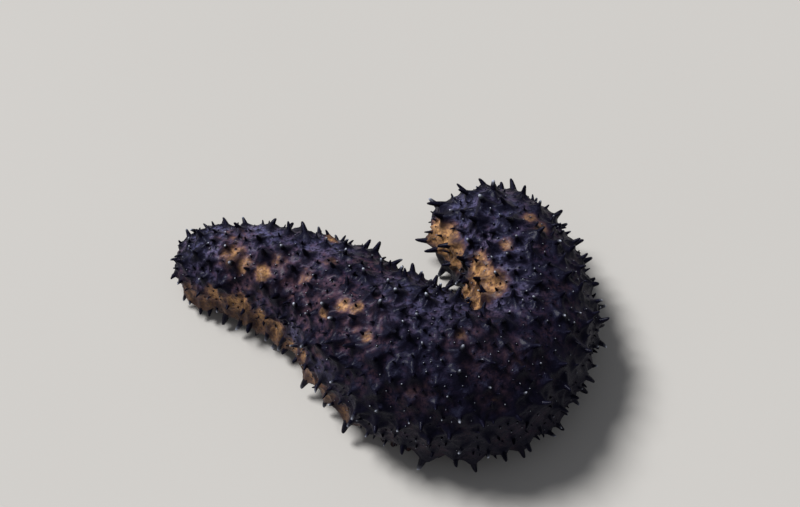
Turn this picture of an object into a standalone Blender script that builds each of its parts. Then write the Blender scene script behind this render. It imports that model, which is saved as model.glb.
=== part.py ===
"""A life-size sea cucumber that lies on the floor bent like a comma.

The body is one long soft tube of skin.  It is drawn out along a curved midline
from the mouth end to the vent end, parted across by thin cuts into six lengths,
and covered with thorn-like papillae.  Short tube feet carry it on the floor.
Metres, +Z up.  The origin is on the floor under the middle of the whole.
"""
import math
import random

import bmesh
import bpy
from mathutils import Vector

MM = 0.001

# Midline: it starts at the mouth end and turns left round the bend
LENGTH = 203 * MM
MOUTH_TIP = (-70.22 * MM, 25.835 * MM)
MIDLINE_STEP = 0.5 * MM
# distance along the midline, heading in degrees from +X
HEADINGS = (
    (0 * MM, -18),
    (21 * MM, -14),
    (42 * MM, -24),
    (63 * MM, -48),
    (84 * MM, -39),
    (105 * MM, -11),
    (126 * MM, 40),
    (147 * MM, 92),
    (168 * MM, 114),
    (189 * MM, 162),
    (210 * MM, 170),
)
# distance along the midline, half of the body's width there
GIRTHS = (
    (0 * MM, 9.8 * MM),
    (20 * MM, 13.6 * MM),
    (50 * MM, 17.8 * MM),
    (80 * MM, 23.5 * MM),
    (110 * MM, 24.8 * MM),
    (135 * MM, 20.6 * MM),
    (160 * MM, 18.9 * MM),
    (185 * MM, 15.8 * MM),
    (205 * MM, 8.2 * MM),
)
MOUTH_CAP = 13 * MM
VENT_CAP = 21 * MM

# Cross-section: a low loaf with a round back and a flatter sole
BACK_RISE = 0.94
SOLE_DROP = 0.66
BACK_FULLNESS = 2.1
SOLE_FULLNESS = 3.2
SOLE_LIFT = 1.8 * MM

# Inside of the bend: the wall stops short of the centre it turns about
BEND_STEP = 3 * MM
LEAST_TURN = 0.01
FOLD_GAP = 0.5 * MM
FOLD_POWER = 8

# Soft swellings of the wall, as a share of the half-width
SWELLINGS = (
    # share, wavelength along the body, waves round it, phase
    (0.016, 27 * MM, 1, 0.6),
    (0.012, 17 * MM, 2, 2.1),
    (0.010, 11 * MM, 3, 4.4),
)

# Pits at the two ends
MOUTH_PIT = 2.4 * MM
VENT_PIT = 1.6 * MM
PIT_WIDTH = 0.42

# Mesh of the trunk, and the small steps that its normal is read over
TRUNK_SIDES = 26
TRUNK_RINGS = 52
NORMAL_STEP = 0.4 * MM
NORMAL_TURN = math.radians(1.5)
TIP_MARGIN = 0.05 * MM

# Thin cuts that part the trunk into lengths
NAMES = ("mouth_end", "fore_body", "middle_body", "bend_body", "rear_body", "vent_end")
CUTS = (26 * MM, 60 * MM, 96 * MM, 132 * MM, 170 * MM)
CUT_GAP = 0.3 * MM
CUT_OUTER_REACH = 12 * MM
CUT_INNER_REACH = 5 * MM
CUT_HEIGHT = 72 * MM
CUT_CLEARANCE = 0.7 * MM

# Papillae strewn over the back and the sides, thicker set at the two ends
PAPILLA_SEED = 12
PAPILLA_TRIES = 9000
PAPILLA_SPACING = 6.1 * MM
PAPILLA_SPACING_MOUTH = 3.5 * MM
MOUTH_ZONE = 22 * MM
VENT_ZONE = 30 * MM
PAPILLA_LOWEST = 102
PAPILLA_HEIGHT = 3.9 * MM
PAPILLA_HEIGHT_MOUTH = 2.6 * MM
PAPILLA_HEIGHT_VENT = 4.9 * MM
PAPILLA_SLIMNESS = 0.72
PAPILLA_WAIST = 0.45
PAPILLA_WAIST_AT = 0.42
PAPILLA_SIDES = 5
PAPILLA_GROWTH = (0.75, 1.3)
PAPILLA_LEAN = 0.16
PAPILLA_VENT_SWEEP = 0.7
PAPILLA_BEND = 0.5
PAPILLA_SINK = 1.3 * MM
PAPILLA_FLOOR_GAP = 1.0 * MM
PAPILLA_FAR = 14 * MM

# Rows of papillae low along each side: the broad ones of the margin, set first,
# and those of the flank, which take the places the strewn papillae leave free:
# seed, angle in degrees, pitch, height, slimness, droop
MARGIN_ROW = (4, 115, 8.2 * MM, 5.6 * MM, 0.95, 0.35)
FLANK_ROW = (6, 100, 5.0 * MM, 4.0 * MM, 0.75, 0.10)
MARGIN_SPACING = 4.1 * MM
FLANK_SPACING = 4.4 * MM
ROW_WANDER = 5
ROW_JITTER = 1.2 * MM
ROW_FIRST = 8 * MM
ROW_LAST = 5 * MM
ROW_MOUTH = 0.55
ROW_GROWTH = (0.85, 1.2)

# Tube feet in three bands under the sole
FOOT_SEED = 5
FOOT_BANDS = (-144, 180, 144)
FOOT_PITCH = 7.5 * MM
FOOT_DISC = 1.25 * MM
FOOT_STALK = 0.85 * MM
FOOT_SIDES = 6
FOOT_SINK = 1.5 * MM
FOOT_FIRST = 11 * MM
FOOT_LAST = 12 * MM
FOOT_JITTER = 0.8 * MM
FOOT_SPACING = 3.4 * MM

SKIN_COLOUR = (0.022, 0.017, 0.030, 1.0)
SKIN_ROUGHNESS = 0.42
SMOOTH_ANGLE = math.radians(40)


def smooth_value(stations, distance):
    """Read a smooth curve through stations, each a distance and a value."""
    last = len(stations) - 1
    index = 0
    while index < last - 1 and distance > stations[index + 1][0]:
        index += 1

    def slope(place):
        before = stations[max(place - 1, 0)]
        after = stations[min(place + 1, last)]
        return (after[1] - before[1]) / (after[0] - before[0])

    start, low = stations[index]
    end, high = stations[index + 1]
    span = end - start
    t = (distance - start) / span
    rise = (3 - 2 * t) * t * t
    return (
        low * (1 - rise)
        + high * rise
        + slope(index) * span * t * (1 - t) ** 2
        - slope(index + 1) * span * t * t * (1 - t)
    )


def trace_midline():
    """Walk the midline in short steps and note each place and heading."""
    trace = []
    x, y = MOUTH_TIP
    for step in range(round(LENGTH / MIDLINE_STEP) + 1):
        here = step * MIDLINE_STEP
        trace.append((x, y, math.radians(smooth_value(HEADINGS, here))))
        ahead = math.radians(smooth_value(HEADINGS, here + MIDLINE_STEP / 2))
        x += MIDLINE_STEP * math.cos(ahead)
        y += MIDLINE_STEP * math.sin(ahead)
    return trace


MIDLINE = trace_midline()


def midline(distance):
    """Place and heading of the midline at a distance from the mouth end."""
    steps = min(max(distance / MIDLINE_STEP, 0.0), len(MIDLINE) - 1.001)
    index = int(steps)
    share = steps - index
    pairs = zip(MIDLINE[index], MIDLINE[index + 1])
    return tuple(low + (high - low) * share for low, high in pairs)


def fullness(distance):
    """Share of the full girth: 0 at both tips, round caps, 1 between them."""
    short = min(distance / MOUTH_CAP, (LENGTH - distance) / VENT_CAP, 1.0)
    return math.sqrt(max(0.0, 1 - (1 - short) ** 2))


def pit_depth(distance):
    """How far the skin is drawn in along the body, at the mouth and the vent."""
    share = fullness(distance) / PIT_WIDTH
    if share >= 1:
        return 0.0
    bowl = (1 - share * share) ** 2
    return MOUTH_PIT * bowl if distance < LENGTH / 2 else -VENT_PIT * bowl


def rounded(value, power):
    """Raise a sine or cosine to the power of a superellipse, with its sign."""
    return math.copysign(abs(value) ** (2 / power), value)


def fold_room(distance):
    """Room between the midline and the centre of the left bend it runs round."""
    turn = midline(distance + BEND_STEP)[2] - midline(distance - BEND_STEP)[2]
    return 2 * BEND_STEP / max(turn, LEAST_TURN) - FOLD_GAP


def skin_point(distance, angle):
    """Point of the skin. The angle is 0 on the back and positive to the left."""
    x, y, heading = midline(distance)
    half_width = smooth_value(GIRTHS, distance)
    swelling = 1.0
    for share, wavelength, waves, phase in SWELLINGS:
        swelling += share * math.sin(math.tau * distance / wavelength + waves * angle + phase)
    reach = half_width * fullness(distance) * swelling
    back = math.cos(angle) > 0
    power = BACK_FULLNESS if back else SOLE_FULLNESS
    side = reach * rounded(math.sin(angle), power)
    if side > 0:
        side /= (1 + (reach / fold_room(distance)) ** FOLD_POWER) ** (1 / FOLD_POWER)
    rise = reach * rounded(math.cos(angle), power) * (BACK_RISE if back else SOLE_DROP)
    ahead = pit_depth(distance)
    return Vector((
        x + ahead * math.cos(heading) - side * math.sin(heading),
        y + ahead * math.sin(heading) + side * math.cos(heading),
        SOLE_LIFT + SOLE_DROP * half_width + rise,
    ))


def skin_normal(distance, angle):
    """Outward direction of the skin at a distance and an angle."""
    low = max(distance - NORMAL_STEP, TIP_MARGIN)
    high = min(distance + NORMAL_STEP, LENGTH - TIP_MARGIN)
    along = skin_point(high, angle) - skin_point(low, angle)
    around = skin_point(distance, angle + NORMAL_TURN) - skin_point(distance, angle - NORMAL_TURN)
    return along.cross(around).normalized()


def length_index(distance):
    """Which length of the body a distance from the mouth end falls in."""
    return sum(distance > cut for cut in CUTS)


def cut_offset(point, cut):
    """Signed distance of a point past a cut's plane, along the heading."""
    x, y, heading = midline(cut)
    return (point.x - x) * math.cos(heading) + (point.y - y) * math.sin(heading)


def clears_cuts(distance, points, margin):
    """Whether the points stay inside their own length, clear of its two cuts."""
    index = length_index(distance)
    for cut in CUTS[max(index - 1, 0):index + 1]:
        side = 1 if distance > cut else -1
        if any(cut_offset(point, cut) * side < margin for point in points):
            return False
    return True


def room_beside(distance, angle, tip):
    """Free room between a papilla's tip and any other stretch of the body."""
    room = PAPILLA_FAR
    for index in range(round(LENGTH / BEND_STEP)):
        other = index * BEND_STEP
        full = fullness(other)
        if abs(other - distance) < PAPILLA_FAR or full == 0:
            continue
        x, y, _ = midline(other)
        half_width = smooth_value(GIRTHS, other)
        level = math.hypot(tip.x - x, tip.y - y) / (half_width * full)
        middle = SOLE_LIFT + SOLE_DROP * half_width
        upright = (tip.z - middle) / (half_width * full * BACK_RISE)
        room = min(room, (math.hypot(level, upright) - 1) * half_width * full)
    if angle > 0:
        x, y, heading = midline(distance)
        lateral = (tip.y - y) * math.cos(heading) - (tip.x - x) * math.sin(heading)
        room = min(room, fold_room(distance) - lateral)
    return room


def near_mouth(distance):
    """Share from 0 on the body to 1 at the mouth."""
    return max(0.0, 1 - distance / MOUTH_ZONE)


def near_vent(distance):
    """Share from 0 on the body to 1 at the vent."""
    return max(0.0, 1 - (LENGTH - distance) / VENT_ZONE)


def grow_papilla(distance, angle, height, width, lean, placed, spacing):
    """Add a papilla unless it would crowd another one, a cut or the body."""
    root = skin_point(distance, angle)
    if any((root - other["root"]).length < spacing for other in placed):
        return
    normal = skin_normal(distance, angle)
    axis = (normal + lean).normalized()
    tip = root + axis * height
    if tip.z < PAPILLA_FLOOR_GAP:
        return
    if not clears_cuts(distance, (root,), width / 2 + CUT_CLEARANCE):
        return
    if not clears_cuts(distance, (tip,), CUT_CLEARANCE):
        return
    if room_beside(distance, angle, tip) < CUT_CLEARANCE:
        return
    placed.append({
        "distance": distance,
        "root": root,
        "axis": axis,
        "height": height,
        "width": width,
        "bend": lean * height * PAPILLA_BEND,
    })


def set_row(placed, row, spacing):
    """Set a row of papillae low along both sides."""
    seed, row_angle, pitch, row_height, slimness, droop = row
    rng = random.Random(seed)
    lean = Vector((0, 0, -droop))
    for side in (-1, 1):
        distance = ROW_FIRST
        while distance < LENGTH - ROW_LAST:
            here = distance + rng.uniform(-1, 1) * ROW_JITTER
            angle = side * math.radians(row_angle + rng.uniform(-ROW_WANDER, ROW_WANDER))
            size = 1 - (1 - ROW_MOUTH) * near_mouth(here)
            height = row_height * rng.uniform(*ROW_GROWTH) * size
            grow_papilla(here, angle, height, height * slimness, lean, placed, spacing * size)
            distance += pitch * size


def scatter_papillae():
    """Set the margin rows, strew papillae over the back, then set the flank rows."""
    placed = []
    set_row(placed, MARGIN_ROW, MARGIN_SPACING)
    rng = random.Random(PAPILLA_SEED)
    lowest = math.radians(PAPILLA_LOWEST)
    widest = max(value for _, value in GIRTHS)
    for _ in range(PAPILLA_TRIES):
        distance = rng.uniform(0, LENGTH)
        angle = rng.uniform(-lowest, lowest)
        chance = rng.random()
        growth = rng.uniform(*PAPILLA_GROWTH)
        lean = Vector(rng.gauss(0, PAPILLA_LEAN) for _ in range(3))
        heading = midline(distance)[2]
        behind = Vector((math.cos(heading), math.sin(heading), 0))
        lean += behind * PAPILLA_VENT_SWEEP * near_vent(distance)
        half_width = smooth_value(GIRTHS, distance) * fullness(distance)
        if chance > half_width / widest or fullness(distance) < PIT_WIDTH:
            continue
        height = PAPILLA_HEIGHT
        height += (PAPILLA_HEIGHT_MOUTH - height) * near_mouth(distance)
        height += (PAPILLA_HEIGHT_VENT - height) * near_vent(distance)
        height *= growth
        width = height * PAPILLA_SLIMNESS
        spacing = PAPILLA_SPACING
        spacing += (PAPILLA_SPACING_MOUTH - spacing) * near_mouth(distance)
        grow_papilla(distance, angle, height, width, lean, placed, spacing)
    set_row(placed, FLANK_ROW, FLANK_SPACING)
    return placed


def stand_feet():
    """Places of the tube feet: three bands under the sole, clear of the cuts."""
    rng = random.Random(FOOT_SEED)
    placed = []
    for row, band in enumerate(FOOT_BANDS):
        distance = FOOT_FIRST + FOOT_PITCH / 2 * (row % 2)
        while distance < LENGTH - FOOT_LAST:
            here = distance + rng.uniform(-1, 1) * FOOT_JITTER
            root = skin_point(here, math.radians(band + rng.uniform(-ROW_WANDER, ROW_WANDER)))
            crowded = any((root - other["root"]).length < FOOT_SPACING for other in placed)
            if not crowded and clears_cuts(here, (root,), FOOT_DISC + CUT_CLEARANCE):
                placed.append({"distance": here, "root": root})
            distance += FOOT_PITCH
    return placed


def new_collection(name):
    """A collection in the scene."""
    collection = bpy.data.collections.new(name)
    bpy.context.scene.collection.children.link(collection)
    return collection


def mesh_object(shape, name, collection):
    """Turn a bmesh into an object in a collection."""
    mesh = bpy.data.meshes.new(name)
    shape.to_mesh(mesh)
    shape.free()
    made = bpy.data.objects.new(name, mesh)
    collection.objects.link(made)
    return made


def make_trunk(collection):
    """A sphere drawn out along the midline: each latitude becomes a section."""
    shape = bmesh.new()
    bmesh.ops.create_uvsphere(
        shape, u_segments=TRUNK_SIDES, v_segments=TRUNK_RINGS, radius=1
    )
    for vert in shape.verts:
        distance = LENGTH * (1 - vert.co.z) / 2
        vert.co = skin_point(distance, math.atan2(vert.co.y, vert.co.x))
    bmesh.ops.recalc_face_normals(shape, faces=shape.faces)
    return mesh_object(shape, "trunk", collection)


def make_cutters(collection):
    """Thin upright plates across the trunk, one at each cut."""
    for cut in CUTS:
        x, y, heading = midline(cut)
        half_width = smooth_value(GIRTHS, cut)
        inner = min(half_width + CUT_INNER_REACH, fold_room(cut) + FOLD_GAP)
        outer = half_width + CUT_OUTER_REACH
        shape = bmesh.new()
        bmesh.ops.create_cube(shape, size=1)
        bmesh.ops.scale(shape, vec=(CUT_GAP, inner + outer, CUT_HEIGHT), verts=shape.verts)
        bmesh.ops.translate(shape, vec=(0, (inner - outer) / 2, 0), verts=shape.verts)
        plate = mesh_object(shape, f"cut_at_{round(cut / MM)}", collection)
        plate.location = (x, y, CUT_HEIGHT / 3)
        plate.rotation_euler.z = heading
        plate.hide_render = True
        plate.display_type = "WIRE"


def make_papilla(place, index, collection):
    """A thorn-like cone of skin: a flared base, a waist and a fine bent tip."""
    height = place["height"]
    waist = height * PAPILLA_WAIST_AT
    shape = bmesh.new()
    bmesh.ops.create_cone(
        shape,
        cap_ends=True,
        segments=PAPILLA_SIDES,
        radius1=place["width"] / 2,
        radius2=place["width"] / 2 * PAPILLA_WAIST,
        depth=PAPILLA_SINK + waist,
    )
    bmesh.ops.translate(shape, vec=(0, 0, (waist - PAPILLA_SINK) / 2), verts=shape.verts)
    top = max(shape.faces, key=lambda face: face.calc_center_median().z)
    point = bmesh.ops.poke(shape, faces=[top])["verts"][0]
    point.co = (0, 0, height)
    stand = place["axis"].to_track_quat("Z", "Y").to_matrix()
    for vert in shape.verts:
        share = max(vert.co.z, 0) / height
        vert.co = place["root"] + stand @ vert.co + place["bend"] * share * share
    mesh_object(shape, f"papilla_{index}", collection)


def make_foot(root, index, collection):
    """A tube foot: a short stalk that widens to a flat disc on the floor."""
    top = root.z + FOOT_SINK
    shape = bmesh.new()
    bmesh.ops.create_cone(
        shape,
        cap_ends=True,
        segments=FOOT_SIDES,
        radius1=FOOT_DISC,
        radius2=FOOT_STALK,
        depth=top,
    )
    foot = mesh_object(shape, f"foot_{index}", collection)
    foot.location = (root.x, root.y, top / 2)


def evaluated_mesh(made):
    """The object's mesh as its modifiers leave it."""
    bpy.context.view_layer.update()
    depsgraph = bpy.context.evaluated_depsgraph_get()
    return bpy.data.meshes.new_from_object(made.evaluated_get(depsgraph))


def boolean(made, operation, collection):
    """Cut or join an object with all that a collection holds, and apply it."""
    modifier = made.modifiers.new(operation.lower(), "BOOLEAN")
    modifier.operation = operation
    modifier.operand_type = "COLLECTION"
    modifier.collection = collection
    modifier.solver = "EXACT"
    mesh = evaluated_mesh(made)
    made.modifiers.clear()
    made.data = mesh


def loose_pieces(mesh):
    """Sets of faces that hang together, as lists of face indices."""
    shape = bmesh.new()
    shape.from_mesh(mesh)
    waiting = set(shape.faces)
    pieces = []
    while waiting:
        piece = []
        front = [waiting.pop()]
        while front:
            face = front.pop()
            piece.append(face.index)
            for edge in face.edges:
                for beside in edge.link_faces:
                    if beside in waiting:
                        waiting.remove(beside)
                        front.append(beside)
        pieces.append(piece)
    shape.free()
    return pieces


def keep_faces(mesh, kept):
    """A bmesh that holds only some faces of a mesh."""
    shape = bmesh.new()
    shape.from_mesh(mesh)
    wanted = set(kept)
    dropped = [face for face in shape.faces if face.index not in wanted]
    bmesh.ops.delete(shape, geom=dropped, context="FACES")
    return shape


def along_body(shape):
    """Distance along the midline of the place nearest a shape's middle."""
    centre = sum((vert.co for vert in shape.verts), Vector()) / len(shape.verts)
    gaps = [math.hypot(x - centre.x, y - centre.y) for x, y, _ in MIDLINE]
    return gaps.index(min(gaps)) * MIDLINE_STEP


def split_trunk(trunk, cutters, collection):
    """Part the trunk at its cuts and name the lengths from the mouth end."""
    boolean(trunk, "DIFFERENCE", cutters)
    pieces = [keep_faces(trunk.data, kept) for kept in loose_pieces(trunk.data)]
    pieces.sort(key=along_body)
    lengths = [mesh_object(piece, name, collection) for name, piece in zip(NAMES, pieces)]
    bpy.data.objects.remove(trunk)
    return lengths


def join_growths(body, growths):
    """Join papillae and tube feet to their length and keep one closed surface."""
    boolean(body, "UNION", growths)
    for growth in list(growths.objects):
        bpy.data.objects.remove(growth)
    bpy.data.collections.remove(growths)
    largest = max(loose_pieces(body.data), key=len)
    shape = keep_faces(body.data, largest)
    shape.to_mesh(body.data)
    shape.free()


def finish(body):
    """Smooth shading and a dark wet skin."""
    material = bpy.data.materials.new(f"{body.name}_skin")
    material.use_nodes = True
    shader = material.node_tree.nodes["Principled BSDF"]
    shader.inputs["Base Color"].default_value = SKIN_COLOUR
    shader.inputs["Roughness"].default_value = SKIN_ROUGHNESS
    shader.inputs["Metallic"].default_value = 0.0
    body.data.materials.clear()
    body.data.materials.append(material)
    body.data.shade_smooth()
    body.data.set_sharp_from_angle(angle=SMOOTH_ANGLE)


def main():
    """Build the whole animal in an empty scene."""
    for old in list(bpy.data.objects):
        bpy.data.objects.remove(old)
    animal = new_collection("sea_cucumber")
    cutters = new_collection("cutters")
    make_cutters(cutters)
    lengths = split_trunk(make_trunk(animal), cutters, animal)
    groups = [new_collection(f"growths_of_{body.name}") for body in lengths]
    for index, place in enumerate(scatter_papillae()):
        make_papilla(place, index, groups[length_index(place["distance"])])
    for index, place in enumerate(stand_feet()):
        make_foot(place["root"], index, groups[length_index(place["distance"])])
    for body, growths in zip(lengths, groups):
        join_growths(body, growths)
        finish(body)


main()
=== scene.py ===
# %% [markdown]
# # A black sea cucumber that lies bent like a comma
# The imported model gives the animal's true size and place: six lengths of body with coarse
# papillae and tube feet.  This lesson dresses it.  A fine skin, the papillae that stand on it
# and the tube feet below it take the place of those solids.  All three are worked out from
# the same named sizes as the solids, so nothing has to be fitted afterwards.

# %% Load the frame
import bisect
import math
import random

import bmesh
import bpy
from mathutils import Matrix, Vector, kdtree, noise


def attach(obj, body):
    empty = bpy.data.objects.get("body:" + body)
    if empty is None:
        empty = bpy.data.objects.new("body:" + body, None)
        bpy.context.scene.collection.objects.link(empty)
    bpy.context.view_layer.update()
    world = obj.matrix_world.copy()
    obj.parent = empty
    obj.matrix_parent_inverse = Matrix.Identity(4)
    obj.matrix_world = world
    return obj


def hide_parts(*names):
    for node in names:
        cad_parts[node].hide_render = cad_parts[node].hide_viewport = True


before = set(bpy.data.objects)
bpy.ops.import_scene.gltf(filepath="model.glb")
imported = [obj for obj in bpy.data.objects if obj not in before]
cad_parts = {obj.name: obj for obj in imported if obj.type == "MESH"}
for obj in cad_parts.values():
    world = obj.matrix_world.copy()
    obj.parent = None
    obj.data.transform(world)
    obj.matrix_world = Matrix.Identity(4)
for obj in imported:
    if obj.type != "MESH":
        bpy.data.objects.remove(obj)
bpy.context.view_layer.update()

MM = 0.001
NODES = sorted(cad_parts)
print("nodes:", NODES)

# %% [markdown]
# ## The camera
# The animal was seen from above, 60 degrees over the floor, across its length.  A long lens
# keeps the perspective as flat as it is there.  The distance follows from the lens: one
# pixel of an 800 pixel wide picture is to cover a third of a millimetre at the floor.

# %% Camera
CAMERA_ELEVATION = math.radians(60)
CAMERA_DISTANCE = 642 * MM
CAMERA_LENS = 85
CAMERA_AIM = Vector((4.4 * MM, 31.7 * MM, 0))


def add_object(name, data):
    """An object of the scene, at the origin."""
    made = bpy.data.objects.new(name, data)
    bpy.context.scene.collection.objects.link(made)
    return made


def place_camera():
    """A camera that looks along +Y and down at the animal."""
    data = bpy.data.cameras.new("studio_camera")
    data.lens = CAMERA_LENS
    data.dof.use_dof = False
    camera = add_object("studio_camera", data)
    back = Vector((0, -math.cos(CAMERA_ELEVATION), math.sin(CAMERA_ELEVATION)))
    camera.location = CAMERA_AIM + back * CAMERA_DISTANCE
    camera.rotation_euler.x = math.pi / 2 - CAMERA_ELEVATION
    bpy.context.scene.camera = camera
    return camera


camera = place_camera()
print("camera at", [round(value, 3) for value in camera.location])

# %% [markdown]
# ## The line through the body
# A sea cucumber has no bones.  Its body is one tube, and what gives the pose is the line
# through the middle of that tube.  The line is given as headings: at each distance from the
# mouth end, the direction in which the body goes on.  A few headings and a smooth curve
# through them turn into places by walking along the line in short steps.

# %% The midline
LENGTH = 203 * MM
MOUTH_TIP = (-70.22 * MM, 25.835 * MM)
MIDLINE_STEP = 0.5 * MM
TRACE_MARGIN = 0.001
# distance along the midline, heading in degrees from +X
HEADINGS = (
    (0 * MM, -18), (21 * MM, -14), (42 * MM, -24), (63 * MM, -48), (84 * MM, -39),
    (105 * MM, -11), (126 * MM, 40), (147 * MM, 92), (168 * MM, 114), (189 * MM, 162),
    (210 * MM, 170),
)


def smooth_value(stations, distance):
    """Read a smooth curve through stations, each a distance and a value."""
    last = len(stations) - 1
    index = 0
    while index < last - 1 and distance > stations[index + 1][0]:
        index += 1

    def slope(place):
        before = stations[max(place - 1, 0)]
        after = stations[min(place + 1, last)]
        return (after[1] - before[1]) / (after[0] - before[0])

    start, low = stations[index]
    end, high = stations[index + 1]
    span = end - start
    t = (distance - start) / span
    rise = (3 - 2 * t) * t * t
    return (
        low * (1 - rise)
        + high * rise
        + slope(index) * span * t * (1 - t) ** 2
        - slope(index + 1) * span * t * t * (1 - t)
    )


def trace_midline():
    """Walk the midline in short steps and note each place and heading."""
    trace = []
    x, y = MOUTH_TIP
    for step in range(round(LENGTH / MIDLINE_STEP) + 1):
        here = step * MIDLINE_STEP
        trace.append((x, y, math.radians(smooth_value(HEADINGS, here))))
        ahead = math.radians(smooth_value(HEADINGS, here + MIDLINE_STEP / 2))
        x += MIDLINE_STEP * math.cos(ahead)
        y += MIDLINE_STEP * math.sin(ahead)
    return trace


MIDLINE = trace_midline()


def midline(distance):
    """Place and heading of the midline at a distance from the mouth end."""
    steps = min(max(distance / MIDLINE_STEP, 0.0), len(MIDLINE) - 1 - TRACE_MARGIN)
    index = int(steps)
    share = steps - index
    pairs = zip(MIDLINE[index], MIDLINE[index + 1])
    return tuple(low + (high - low) * share for low, high in pairs)


print("the midline ends at", [round(value / MM, 1) for value in MIDLINE[-1][:2]], "mm")

# %% [markdown]
# ## The body's section
# Cut across, the animal is a low loaf: round on the back and flatter on the sole that creeps
# on the floor.  A superellipse draws both with one formula, because its power says how
# square the curve is.  At the inside of the bend the soft wall has less room than its girth
# asks for, so its reach is held back before the centre that the bend turns about.

# %% Girth and section
# distance along the midline, half of the body's width there
GIRTHS = (
    (0 * MM, 9.8 * MM), (20 * MM, 13.6 * MM), (50 * MM, 17.8 * MM), (80 * MM, 23.5 * MM),
    (110 * MM, 24.8 * MM), (135 * MM, 20.6 * MM), (160 * MM, 18.9 * MM), (185 * MM, 15.8 * MM),
    (205 * MM, 8.2 * MM),
)
MOUTH_CAP = 13 * MM
VENT_CAP = 21 * MM
BACK_RISE = 0.94
SOLE_DROP = 0.66
BACK_FULLNESS = 2.1
SOLE_FULLNESS = 3.2
SOLE_LIFT = 1.8 * MM
BEND_STEP = 3 * MM
LEAST_TURN = 0.01
FOLD_GAP = 0.5 * MM
FOLD_POWER = 8
SWELLINGS = (
    # share of the half-width, wavelength along the body, waves round it, phase
    (0.016, 27 * MM, 1, 0.6),
    (0.012, 17 * MM, 2, 2.1),
    (0.010, 11 * MM, 3, 4.4),
)
MOUTH_PIT = 2.4 * MM
VENT_PIT = 1.6 * MM
PIT_WIDTH = 0.42


def fullness(distance):
    """Share of the full girth: 0 at both tips, round caps, 1 between them."""
    short = min(distance / MOUTH_CAP, (LENGTH - distance) / VENT_CAP, 1.0)
    return math.sqrt(max(0.0, 1 - (1 - short) ** 2))


def pit_depth(distance):
    """How far the skin is drawn in along the body, at the mouth and the vent."""
    share = fullness(distance) / PIT_WIDTH
    if share >= 1:
        return 0.0
    bowl = (1 - share * share) ** 2
    return MOUTH_PIT * bowl if distance < LENGTH / 2 else -VENT_PIT * bowl


def rounded(value, power):
    """Raise a sine or cosine to the power of a superellipse, with its sign."""
    return math.copysign(abs(value) ** (2 / power), value)


def fold_room(distance):
    """Room between the midline and the centre of the left bend it runs round."""
    turn = midline(distance + BEND_STEP)[2] - midline(distance - BEND_STEP)[2]
    return 2 * BEND_STEP / max(turn, LEAST_TURN) - FOLD_GAP


def skin_point(distance, angle):
    """Point of the skin. The angle is 0 on the back and positive to the left."""
    x, y, heading = midline(distance)
    half_width = smooth_value(GIRTHS, distance)
    swelling = 1.0
    for share, wavelength, waves, phase in SWELLINGS:
        swelling += share * math.sin(math.tau * distance / wavelength + waves * angle + phase)
    reach = half_width * fullness(distance) * swelling
    back = math.cos(angle) > 0
    power = BACK_FULLNESS if back else SOLE_FULLNESS
    side = reach * rounded(math.sin(angle), power)
    if side > 0:
        side /= (1 + (reach / fold_room(distance)) ** FOLD_POWER) ** (1 / FOLD_POWER)
    rise = reach * rounded(math.cos(angle), power) * (BACK_RISE if back else SOLE_DROP)
    ahead = pit_depth(distance)
    return Vector((
        x + ahead * math.cos(heading) - side * math.sin(heading),
        y + ahead * math.sin(heading) + side * math.cos(heading),
        SOLE_LIFT + SOLE_DROP * half_width + rise,
    ))


widest = max(value for _, value in GIRTHS)
print("greatest width", round(2 * widest / MM, 1), "mm")

# %% [markdown]
# ## Even steps round the section
# Even angles of a superellipse bunch its points up and leave gaps at the corners, and a fine
# skin shows that as stretched faces.  So the outline's length is measured once, in short
# steps, and a table then turns a share of that length into an angle.  The share is 0 on the
# back and half at the middle of the sole, and it also unwraps the skin later.

# %% Angle for a share of the outline
OUTLINE_STEPS = 720


def measure_outline():
    """Angles from the back down to the sole, with the outline's share walked by each."""
    angles = [math.pi * step / OUTLINE_STEPS for step in range(OUTLINE_STEPS + 1)]
    walked = [0.0]
    before = None
    for angle in angles:
        back = math.cos(angle) > 0
        power = BACK_FULLNESS if back else SOLE_FULLNESS
        rise = rounded(math.cos(angle), power) * (BACK_RISE if back else SOLE_DROP)
        here = Vector((rounded(math.sin(angle), power), rise))
        if before is not None:
            walked.append(walked[-1] + (here - before).length)
        before = here
    return angles, [length / walked[-1] / 2 for length in walked]


OUTLINE_ANGLES, OUTLINE_SHARES = measure_outline()


def look_up(value, known, wanted):
    """Read a table: the place of a value between rising known ones, in the wanted ones."""
    high = min(bisect.bisect_right(known, value, 1), len(known) - 1)
    low = high - 1
    share = (value - known[low]) / (known[high] - known[low])
    return wanted[low] + (wanted[high] - wanted[low]) * share


def angle_at(share):
    """Angle round the section at a share of its outline, from -0.5 to 0.5."""
    return math.copysign(look_up(abs(share), OUTLINE_SHARES, OUTLINE_ANGLES), share)


def share_at(angle):
    """Share of the outline at an angle, the other way round."""
    return math.copysign(look_up(abs(angle), OUTLINE_ANGLES, OUTLINE_SHARES), angle)


print("the side of the body is at share", round(share_at(math.pi / 2), 3))

# %% [markdown]
# ## Where the papillae stand
# Papillae are soft thorns of skin, drawn out by the animal's own muscles.  The large ones are
# placed just as in the solids, with the same seeds: a row of broad ones low along each side,
# the rest strewn by chance and thrown out where they would crowd, and a row along each flank
# in the room that is left.  Strewing is slow next to a pattern, but a pattern would show, and
# no two of the real ones are in line.

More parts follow.
